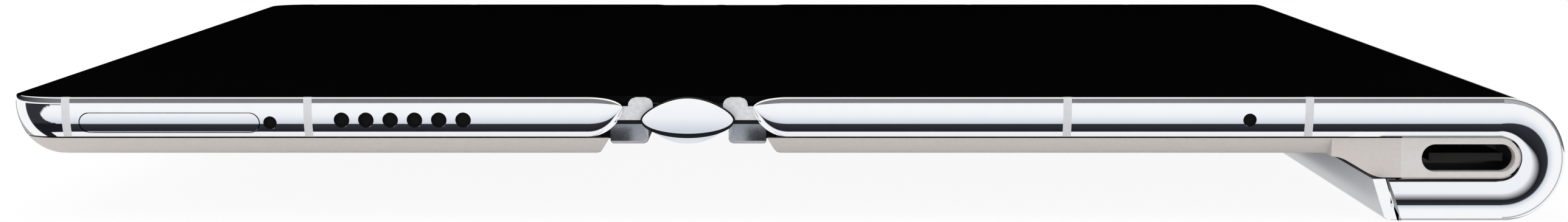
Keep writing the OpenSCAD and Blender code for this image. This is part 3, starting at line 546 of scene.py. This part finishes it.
# The nose's tip stands out from under the flat display, and behind it the full band starts at the
# pocket that takes the arms
display_reach, pocket_reach = 2.97 * MM, 4.77 * MM
tip_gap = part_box("display_right")[0].x - hinge_x - display_reach
tip_z = 1.0 * MM
tip_len = 3.1 * MM
nose_power, nose_back = 1.2, 0.25 * MM
pocket = tip_gap + pocket_reach
band_inner = [(shelf_z, band_wall), (shelf_z, lip_w), (0, lip_w)]
antenna_w, antenna_places = 0.75 * MM, (33.9, 55.5)
hole_z = top_z - 2.05 * MM
hole_depth, pinhole_depth, tray_depth = 1.6 * MM, 1.5 * MM, 3 * MM


def band_rows(side, run_end):
    """Rows of a half's near band, from its nose along its straight run; side is 1 right, -1 left."""
    def at(x):
        return (hinge_x + side * x, top_z)
    rows = []
    down = (0, -1)
    for a in range(0, 91, 6):
        s = math.sin(math.radians(a))
        top = tip_z * (1 - s)
        foot = tip_z + (band_h - tip_z) * s ** nose_power
        x = tip_gap + tip_len * (1 - math.cos(math.radians(a)))
        back = nose_back * (1 - s)
        rim = belly_top + back
        inner = [(top, skin_t), (top, rim + (skin_t - rim) * 0.6), (top, rim + (skin_t - rim) * 0.3)]
        rows.append(band_row(at(x), down, top, foot, skin_t, inner, back))
        if a == 0:
            rows[0] = [(at(x)[0], -half_l + skin_t * 0.6, at(x)[1] - tip_z)] * len(rows[0])
    thin = [(0, skin_t), (0, skin_t * 0.7), (0, skin_t * 0.4)]
    rows.append(band_row(at(pocket), down, 0, band_h, skin_t, thin))
    run = abs(run_end - at(pocket)[0])
    steps = 24
    for i in range(steps + 1):
        x = pocket + run * i / steps
        rows.append(band_row(at(x), down, 0, band_h, band_wall, band_inner))
    return rows


# The grip half's band runs on round the half-round edge and back to the grip's inner wall
wall_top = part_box("grip_inner_wall")[1].z
rim_w = 1.15 * MM
wall_gap = 0.35 * MM
grip_lean = 1.1 * MM
shell_t = 1.2 * MM
right_rows = band_rows(1, grip_axis_x)
round_inner = [(1.2 * MM, band_wall), (0, band_wall), (0, band_wall / 2)]
for i in range(61):
    a = math.radians(90 - 3 * i)
    out_way = (math.cos(a), math.sin(a))
    right_rows.append(band_row((grip_axis_x + bend_r * out_way[0], bend_r + bend_r * out_way[1]),
                               (-out_way[0], -out_way[1]), 0, band_h, band_wall, round_inner))
leg_end = wall_x + rim_w + wall_gap
for i in range(1, 13):
    x = grip_axis_x + (leg_end - grip_axis_x) * i / 12
    row = band_row((x, 0), (0, 1), 0, band_h, band_wall, round_inner)
    if i == 12:
        row = [(x + grip_lean * (1 - z / wall_top), y, z) for x, y, z in row]
    right_rows.append(row)

right_near = loft(right_rows, cap_first=False)
mic_x = hinge_x + 50.2 * MM


def antenna_cutters(side):
    """Blocks that split a half's near band at its two antenna breaks."""
    return [box_skin(hinge_x + side * x * MM - antenna_w / 2, hinge_x + side * x * MM + antenna_w / 2,
                     -half_l - MM, -half_l + band_wall + MM, top_z - band_h - MM, top_z + MM)
            for x in antenna_places]


right_cutters = antenna_cutters(1)
right_far = cut(mirrored(right_near, 1), [mirrored(c, 1) for c in right_cutters])
pinhole_r = 0.6 * MM
mic_cut = outline_skin(stadium_points(mic_x, hole_z, 2 * pinhole_r, 2 * pinhole_r),
                       -half_l - MM, -half_l + pinhole_depth)
right_near = cut(right_near, right_cutters + [mic_cut])

# Between the two bands lies the long half-round shell, open for the keys and the back panel
power_y, power_l, volume_y, volume_l, button_h = 14 * MM, 12 * MM, 40 * MM, 22 * MM, 2.6 * MM
slide_fit = 0.1 * MM
shell_y = half_l - band_wall
panel_low, panel_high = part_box("grip_back_panel")
shell_floor = panel_low.x - 0.5 * MM
shell_loop = [(shell_floor, 0), (grip_axis_x, 0)]
shell_loop += [(grip_axis_x + bend_r * math.cos(math.radians(a)),
                bend_r + bend_r * math.sin(math.radians(a))) for a in range(-88, 91, 2)]
shell_loop += [(grip_axis_x + (bend_r - shell_t) * math.cos(math.radians(a)),
                bend_r + (bend_r - shell_t) * math.sin(math.radians(a))) for a in range(90, -91, -6)]
shell_loop.append((shell_floor, shell_t))
shell = outline_skin(shell_loop, -shell_y, shell_y)


def key_cutter(y, length, grow):
    """A half-round-ended bar through the half-round edge, along y."""
    points = stadium_points(y, bend_r, length + 2 * grow, button_h + 2 * grow)
    return loft([[(x, p, z) for p, z in points] for x in (right_x - 3 * MM, right_x + MM)])


panel_cut = box_skin(panel_low.x - 0.05 * MM, panel_high.x + 0.05 * MM, panel_low.y - 0.05 * MM,
                     panel_high.y + 0.05 * MM, -MM, skin_t)
shell = cut(shell, [key_cutter(power_y, power_l, slide_fit), key_cutter(volume_y, volume_l, slide_fit),
                    panel_cut])
plate_top, plate_t = top_z - shelf_z, 0.45 * MM
right_plate = box_skin(hinge_x + pocket, grip_axis_x, -half_l + band_wall, half_l - band_wall,
                       plate_top - plate_t, plate_top)
shoulder_l, shoulder_back, shoulder_h = half_l - 3.45 * MM, 1.2 * MM, 2.4 * MM
right_shoulder = box_skin(hinge_x + tip_gap + shoulder_back, hinge_x + pocket + MM, -shoulder_l, shoulder_l,
                          top_z - shoulder_h, plate_top)
right_piece = piece_of("right_half_frame", [right_near, right_far, shell, right_plate, right_shoulder],
                       polish, "main_half")
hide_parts("right_frame")

# The plain half's band runs round two corners and along the long edge
left_rows = band_rows(-1, left_x + corner_r)


def corner_row(cx, cy, ux, uy):
    """A section of the band at a point of the plan outline; ux, uy points outward there."""
    flat = band_row((0, top_z), (0, -1), 0, band_h, band_wall, band_inner)
    return [(cx - ux * (y + half_l), cy - uy * (y + half_l), z) for _, y, z in flat]


for i in range(1, 31):
    a = math.radians(3 * i)
    ux, uy = -math.sin(a), -math.cos(a)
    left_rows.append(corner_row(left_x + corner_r + corner_r * ux, -half_l + corner_r + corner_r * uy,
                                ux, uy))
for i in range(1, 25):
    y = (-half_l + corner_r) * (1 - i / 24)
    left_rows.append(corner_row(left_x, y, -1, 0))
left_near = loft(left_rows, cap_first=False)
left_far = mirrored(left_near, 1)
left_cutters = antenna_cutters(-1)
left_far = cut(left_far, [mirrored(c, 1) for c in left_cutters])
# The long edge has a notch with the keeper's steel plate at its back, for the latch's hook
keeper_low, keeper_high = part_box("latch_keeper")
notch_in, notch_up, keeper_fit = 0.9 * MM, 0.2 * MM, 0.02 * MM
latch_cutters = [box_skin(left_x - MM, keeper_low.x + keeper_fit, keeper_low.y + notch_in,
                          keeper_high.y - notch_in, keeper_low.z - MM, keeper_high.z + notch_up),
                 box_skin(keeper_low.x - keeper_fit, keeper_high.x + keeper_fit, keeper_low.y - keeper_fit,
                          keeper_high.y + keeper_fit, keeper_low.z - MM, keeper_high.z + keeper_fit)]
tray_w, tray_h = 16 * MM, 1.7 * MM
tray_x, tray_z = hinge_x - 46.3 * MM, top_z - 2.3 * MM
speaker_x, speaker_pitch, speaker_r = hinge_x - 30.9 * MM, 2.17 * MM, 0.7 * MM
round_holes = [(tray_x + tray_w / 2 + MM, tray_z, pinhole_r)]
round_holes += [(speaker_x + i * speaker_pitch, hole_z, speaker_r) for i in range(6)]
hole_cutters = [outline_skin(stadium_points(x, z, 2 * r, 2 * r), -half_l - MM, -half_l + hole_depth)
                for x, z, r in round_holes]
tray_slot = stadium_points(tray_x, tray_z, tray_w + 2 * slide_fit, tray_h + 2 * slide_fit)
hole_cutters.append(outline_skin(tray_slot, -half_l - MM, -half_l + tray_depth))
left_near = cut(left_near, left_cutters + hole_cutters)
for latch_cutter in latch_cutters:
    left_far = cut(left_far, [latch_cutter.copy()])
    left_near = cut(left_near, [latch_cutter])
left_plate = box_skin(left_x + band_wall, hinge_x - pocket, -half_l + band_wall, half_l - band_wall,
                      plate_top - plate_t, plate_top)
left_shoulder = box_skin(hinge_x - pocket - MM, hinge_x - tip_gap - shoulder_back, -shoulder_l, shoulder_l,
                         top_z - shoulder_h, plate_top)
left_piece = piece_of("left_half_frame", [left_near, left_far, left_plate, left_shoulder],
                      polish, "left_half")
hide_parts("left_frame")

# ---- Antenna breaks ----------------------------------------------------------------------------
# Narrow strips of pale plastic that split the metal band, so that its lengths work as antennas.
# They are moulded into the slots and polished flush with the face.
antenna_plastic = finish_material("antenna_plastic", (0.66, 0.67, 0.69), (0.6, 0.61, 0.63), 0.42, 0.06,
                                  grain=2500, bump=2e-6)
for node in ("right_antenna_bands", "left_antenna_bands"):
    dress(node, antenna_plastic)

# ---- Display -----------------------------------------------------------------------------------
# One laminate of glossy black film over both halves. Its flats are bonded down, and the stretch
# over the hinge bends; here it is drawn as flat strips, one over each facet, and only the outermost
# edge strips ride their facets.
display_black = finish_material("display_laminate", (0.0035, 0.0035, 0.004), (0.0025, 0.0025, 0.003),
                                0.06, 0.015, grain=400, coat=0.0, specular=0.35)
laminate_edge = finish_material("laminate_edge", (0.002, 0.002, 0.002), (0.0015, 0.0015, 0.0015), 0.5, 0.1,
                                grain=900, specular=0.05)
for node in ("display_right", "display_left"):
    dress(node, display_black)
facet_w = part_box("display_slat_r1")[1].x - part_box("display_slat_r1")[0].x + 0.02 * MM
bend_half_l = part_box("display_slat_centre")[1].y
film_t = 0.6 * MM
facets = 6


def film(name, x0, x1, steps):
    """A stretch of the laminate between two distances from the hinge line."""
    rows = []
    for i in range(steps + 1):
        x = hinge_x + x0 + (x1 - x0) * i / steps
        rows.append([(x, y, z) for y, z in ((-bend_half_l, top_z), (bend_half_l, top_z),
                                            (bend_half_l, top_z - film_t), (-bend_half_l, top_z - film_t))])
    skin = piece_of(name, [loft(rows)], display_black)
    skin.data.materials.append(laminate_edge)
    for face in skin.data.polygons:
        face.material_index = int(abs(face.normal.y) > 0.9)
    return skin


for side, letter in ((1, "r"), (-1, "l")):
    for i in range(1, facets + 1):
        last = i == facets
        x0, x1 = (i - 1) * facet_w, (i - 0.25 if last else i) * facet_w
        skin = film(f"display_bend_{letter}{i}", side * x0, side * x1, 6)
        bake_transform(skin)
        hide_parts(f"display_slat_{letter}{i}")
        if i == 1:
            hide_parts("display_slat_centre")
        if last:
            edge = film(f"display_bend_{letter}_edge", side * x1, side * i * facet_w, 2)
            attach(edge, f"facet_{letter}{i}")

# ---- Back covers -------------------------------------------------------------------------------
# Thin shells covered in pale, fine-grained leather, glued at the edges; on the grip side the
# leather sweeps down in an S-curve to the port panel.
leather = finish_material("cover_leather", (0.63, 0.585, 0.565), (0.56, 0.515, 0.495), 0.62, 0.08,
                          grain=3200, detail=4, bump=2.5e-5, specular=0.35, sheen=0.1)
for node in ("right_back_cover", "left_back_cover"):
    dress(node, leather)

# ---- End panels of the grip --------------------------------------------------------------------
# Plastic panels inside the U-shaped band, in the leather's colour, the near one round the port.
# They are moulded with a fine texture and pressed in from the end.
panel_plastic = finish_material("port_panel_plastic", (0.68, 0.65, 0.63), (0.6, 0.57, 0.55), 0.55, 0.08,
                                grain=3000, detail=4, bump=1.5e-5)
for node in ("port_panel", "far_end_panel"):
    dress(node, panel_plastic)

# A thin grey gasket closes the joint between each panel and the band.
port_panel_low, port_panel_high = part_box("port_panel")
seat_grow, seat_y, seat_end = 0.13 * MM, 0.08 * MM, 1.4 * MM
seat_x, seat_low, seat_high = port_panel_low.x + 0.1 * MM, port_panel_low.z, port_panel_high.z
seat_h = seat_high - seat_low + 2 * seat_grow
seat_points = [(seat_x, seat_low - seat_grow), (grip_axis_x, seat_low - seat_grow)]
seat_points += [(grip_axis_x + seat_h / 2 * math.cos(math.radians(a)),
                 (seat_low + seat_high) / 2 + seat_h / 2 * math.sin(math.radians(a)))
                for a in range(-85, 86, 5)]
seat_points += [(grip_axis_x, seat_high + seat_grow), (seat_x, seat_high + seat_grow)]
seat = outline_skin(seat_points, port_panel_low.y + seat_y, port_panel_low.y + seat_end)
port_low, port_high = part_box("usb_port_shell")
seat_cut = box_skin(port_low.x, port_high.x, -half_l, half_l, port_low.z, port_high.z)
far_seat = mirrored(seat, 1)
gasket_grey = finish_material("gasket_grey", (0.5, 0.49, 0.48), (0.42, 0.41, 0.4), 0.5, 0.1, grain=1800)
piece_of("panel_gaskets", [cut(seat, [seat_cut]), far_seat], gasket_grey, "main_half")

# ---- Charging port -----------------------------------------------------------------------------
# A drawn steel shell set behind the panel, with a black contact tongue; its steel is given a dark
# tone, painted shade for the deep port. It is soldered to the charging board.
# Dark steel tone: painted shade inside the port
port_steel_painted_shade = finish_material("port_steel_painted_shade", (0.12, 0.115, 0.11), (0.07, 0.068, 0.065), 0.3, 0.05,
                             metallic=0.8, grain=1500)
dress("usb_port_shell", port_steel_painted_shade)
tongue_plastic = finish_material("tongue_plastic", (0.014, 0.013, 0.012), (0.009, 0.009, 0.008), 0.5, 0.05,
                                 specular=0.2)
dress("usb_contact_tongue", tongue_plastic)

# ---- Grip's inner wall and back ----------------------------------------------------------------
# A leaning wall of bead-blasted aluminium faces the folded half, and a glossy black panel with
# three cameras and a lamp closes the grip's back.
# Bead-blasted aluminium, its tone darkened below the metal's own to paint in the shade the wall lies in
# under the device; the spine and the hinge plates share it
satin_painted_shade = finish_material("satin_aluminium_painted_shade", (0.46, 0.47, 0.49), (0.32, 0.33, 0.35), 0.3, 0.06,
                        metallic=1.0, grain=5000, detail=2, bump=4e-6)
for node in ("grip_inner_wall", "hinge_spine"):
    dress(node, satin_painted_shade)
wall_low, wall_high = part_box("grip_inner_wall")
rim_points = [(wall_low.x, wall_high.z), (wall_low.x + rim_w, wall_high.z),
              (wall_low.x + rim_w + grip_lean, 0), (wall_low.x + grip_lean + 0.35 * MM, 0),
              (wall_low.x + grip_lean, 0.35 * MM)]
wall_rim = outline_skin(rim_points, wall_low.y - 0.12 * MM, wall_low.y - 0.005 * MM)
piece_of("grip_wall_rims", [wall_rim, mirrored(wall_rim, 1)], polish, "main_half")
back_glass = finish_material("back_glass", (0.012, 0.012, 0.014), (0.009, 0.009, 0.01), 0.07, 0.02,
                             grain=500)
dress("grip_back_panel", back_glass)
bright_steel = finish_material("bright_steel", (0.6, 0.6, 0.62), (0.5, 0.5, 0.52), 0.22, 0.05,
                               metallic=1.0, grain=2500)
for node in ("camera_rings", "release_button", "latch_hook", "latch_keeper", "hinge_pins", "idler_shafts",
             "idler_gears_right", "idler_gears_left", "shield_cans", "vibration_motor", "board_screws",
             "card_reader", "microphone"):
    dress(node, bright_steel)
lens_glass = finish_material("lens_glass", (0.01, 0.012, 0.02), (0.006, 0.007, 0.012), 0.04, 0.01, coat=0.5)
dress("camera_lenses", lens_glass)
flash_plastic = finish_material("flash_plastic", (0.85, 0.8, 0.62), (0.75, 0.7, 0.52), 0.25, 0.05,
                                grain=1800)
dress("flash_lens", flash_plastic)
black_plastic = finish_material("black_plastic", (0.02, 0.02, 0.022), (0.013, 0.013, 0.015), 0.45, 0.08)
for node in ("camera_modules", "speaker_module", "speaker_mesh"):
    dress(node, black_plastic)

# ---- Dust meshes -------------------------------------------------------------------------------
# Each round hole in the near end is closed by a cup of black mesh, which keeps dust from the
# loudspeaker and the microphone; the cup in the card tray's pin hole is painted shade. The cups are pressed
# in just below the face.
cup_y, cup_end = -half_l + 0.55 * MM, -half_l + 1.55 * MM
cup_wall, cup_dish = 0.1 * MM, 0.2 * MM


def dust_cup(x, z, r):
    """A shallow black cup in a hole."""
    radii = [(r * 0.5, cup_y + cup_dish), (r - cup_wall, cup_y + cup_dish), (r - cup_wall, cup_y),
             (r - 0.02 * MM, cup_y), (r - 0.02 * MM, cup_end), (r * 0.5, cup_end)]
    return loft([[(x + q * math.cos(math.radians(a)), y, z + q * math.sin(math.radians(a)))
                  for a in range(0, 360, 10)] for q, y in radii])


dust_mesh_and_shade_black = finish_material("dust_mesh_and_shade_black", (0.006, 0.006, 0.006), (0.003, 0.003, 0.003), 0.6, 0.1,
                             grain=6000, bump=1e-5, specular=0.1)
# The first cup sits in the tray's pin hole, where it is painted shade
piece_of("left_dust_meshes_and_pinhole_shade", [dust_cup(*hole) for hole in round_holes], dust_mesh_and_shade_black,
         "left_half")
piece_of("microphone_dust_mesh", [dust_cup(mic_x, hole_z, pinhole_r)], dust_mesh_and_shade_black,
         "main_half")

# ---- Keys and card tray ------------------------------------------------------------------------
# Bars of the same polished aluminium as the band, milled and each set in its own slot with a fine
# gap round it. The hinge's end caps have the same finish.
for node in ("power_button", "volume_rocker", "card_tray", "hinge_end_caps"):
    dress(node, polish)

# ---- Hinge -------------------------------------------------------------------------------------
# Arms with knuckles and end leaves, blasted matt, and plates beside the spine with rounded ends.
# Black strips fill the slot between a leaf and its plate, and the plate's outer edge: painted shade standing
# in for the dark gaps there.
hinge_matt = finish_material("hinge_matt_metal", (0.86, 0.865, 0.88), (0.5, 0.51, 0.525), 0.5, 0.08,
                             metallic=0.35, grain=3000, detail=5, bump=1.2e-5)
for node in ("right_arms", "left_arms"):
    dress(node, hinge_matt)
for node in ("right_wing_plate", "left_wing_plate"):
    dress(node, satin_painted_shade)
leaf_y, wing_y = half_l - 0.85 * MM, half_l - 2.15 * MM
wing_in, wing_out, wing_top, wing_deep, wing_shallow = 3.62, 7.0, 2.5, 4.45, 2.85
wing_round, wing_lift = 1.2 * MM, 3.95
strip_in, strip_out, strip_top, strip_foot = 3.2 * MM, 6.7 * MM, 2.13 * MM, 2.47 * MM
filler_short, filler_foot, filler_top, filler_lap, filler_w = 0.3 * MM, 3.9 * MM, 2.6 * MM, 0.1, 0.9
# Black for the hinge strips, which are painted gap shade, and for the caps' gaskets
black_gasket_and_gap_shade = finish_material("black_gasket_and_gap_shade", (0.008, 0.008, 0.009), (0.005, 0.005, 0.006), 0.6, 0.1,
                         specular=0.15)


def wing_row(side, y, deep, top):
    """A section of the plate's skin: flat top, rounded lower edges."""
    points = [(wing_in, top), (wing_out, top), (wing_out, deep - 0.15), (wing_out - 0.15, deep),
              (wing_in + 0.4, deep), (wing_in + 0.12, deep - 0.12), (wing_in, deep - 0.32)]
    return [(hinge_x + side * x * MM, y, top_z - z * MM) for x, z in points]


for side, letter, body in ((1, "right", "right_arm"), (-1, "left", "left_arm")):
    rows = []
    for i in range(13):
        share = 1 - i / 12
        deep = wing_shallow + (wing_deep - wing_shallow) * math.sqrt(max(0, 1 - share ** 2))
        rows.append(wing_row(side, -wing_y + wing_round * (1 - share), deep, wing_top))
    for top in (wing_top, wing_lift):
        rows.append(wing_row(side, -wing_y + wing_round + 0.4 * MM, wing_deep, top))
    rows += [[(x, -y, z) for x, y, z in row] for row in reversed(rows)]
    piece_of(f"{letter}_wing_skin", [loft(rows)], satin_painted_shade, body, smooth=40)
    low_x, high_x = sorted((hinge_x + side * strip_in, hinge_x + side * strip_out))
    outer_x = sorted(hinge_x + side * x * MM for x in (wing_out - filler_lap, wing_out + filler_w))
    strips = [box_skin(*outer_x, -wing_y + filler_short, wing_y - filler_short, top_z - filler_foot,
                       top_z - filler_top)]
    for end in (-1, 1):
        strip_y = sorted((end * (leaf_y - 0.05 * MM), end * (wing_y + 0.02 * MM)))
        strips.append(box_skin(low_x, high_x, *strip_y, top_z - strip_foot, top_z - strip_top))
    for strip in strips:
        bmesh.ops.bevel(strip, geom=list(strip.edges), offset=0.04 * MM, segments=2, affect="EDGES")
    piece_of(f"{letter}_hinge_gap_shade_strips", strips, black_gasket_and_gap_shade, body)

# Polished lens-shaped caps close the spine's ends. A black gasket shows round each, made thicker
# below as painted shade under the cap, and under it the spine's foot ends in a bright crescent.
cap_w, cap_tip, cap_low, gasket_w, gasket_and_shade_low = 4.05, 2.0, 1.25, 0.17, 0.42
foot_axis, foot_r, foot_reach = 0.55, 4.75, 2.95


def cap_outline(wide, tall, low):
    """The cap's outline, grown sideways, upwards and downwards, in mm from the hinge line."""
    upper = [(wide * math.cos(math.radians(a)) * (1 - 0.16 * math.sin(math.radians(a)) ** 2),
              -cap_tip + tall * math.sin(math.radians(a)) ** 1.25) for a in range(180, -1, -6)]
    lower = [(wide * math.cos(math.radians(a)), -cap_tip - low * math.sin(math.radians(a)))
             for a in range(6, 175, 6)]
    return [(hinge_x + x * MM, top_z + z * MM) for x, z in upper + lower]


gasket_outer = cap_outline(cap_w + gasket_w, cap_tip - 0.1 + 0.4 * gasket_w, cap_low + gasket_and_shade_low)
gasket_inner = cap_outline(cap_w + 0.01, cap_tip - 0.1, cap_low + 0.01)
gasket_front, gasket_back, gasket_end = -half_l + 0.15 * MM, -half_l + 0.7 * MM, -half_l + 0.8 * MM
ring_rows = [[(x, y, z) for x, z in outline] for outline, y in (
    (gasket_outer, gasket_front), (gasket_outer, gasket_end), (gasket_inner, gasket_end),
    (gasket_inner, gasket_front), (gasket_outer, gasket_front))]
gasket = loft(ring_rows, cap_first=False, cap_last=False)
backing = outline_skin(cap_outline(cap_w - 0.1, cap_tip - 0.2, cap_low - 0.1), gasket_back, gasket_end)
gaskets = piece_of("hinge_cap_gaskets_and_shade", [gasket, backing, mirrored(gasket, 1), mirrored(backing, 1)],
                   black_gasket_and_gap_shade, "spine")
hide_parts("hinge_cap_rims")

crescent_points = []
for i in range(25):
    x = -foot_reach + 2 * foot_reach * i / 24
    crescent_points.append((x, foot_axis - math.sqrt(foot_r ** 2 - x ** 2)))
for i in range(25):
    x = foot_reach - 2 * foot_reach * i / 24
    rim = -cap_tip - (cap_low + gasket_and_shade_low) * math.sqrt(1 - (x / (cap_w + gasket_w)) ** 2)
    crescent_points.append((x, rim - 0.02))
crescent = outline_skin([(hinge_x + x * MM, top_z + z * MM) for x, z in crescent_points],
                        -half_l + 0.4 * MM, -half_l + 0.79 * MM)
piece_of("spine_foot_crescents", [crescent, mirrored(crescent, 1)], polish, "spine")

# ---- Inside the halves -------------------------------------------------------------------------
# Battery cells wrapped in dark film and boards with a green solder mask. They are glued and
# screwed inside the halves, and are seen only when these are opened up.
cell_wrap = finish_material("battery_wrap", (0.05, 0.05, 0.055), (0.035, 0.035, 0.04), 0.4, 0.08, grain=900)
for node in ("battery_right", "battery_left"):
    dress(node, cell_wrap)
board_mask = finish_material("solder_mask", (0.02, 0.1, 0.06), (0.012, 0.07, 0.04), 0.35, 0.08, grain=1500)
for node in ("mainboard", "charging_board", "left_board"):
    dress(node, board_mask)
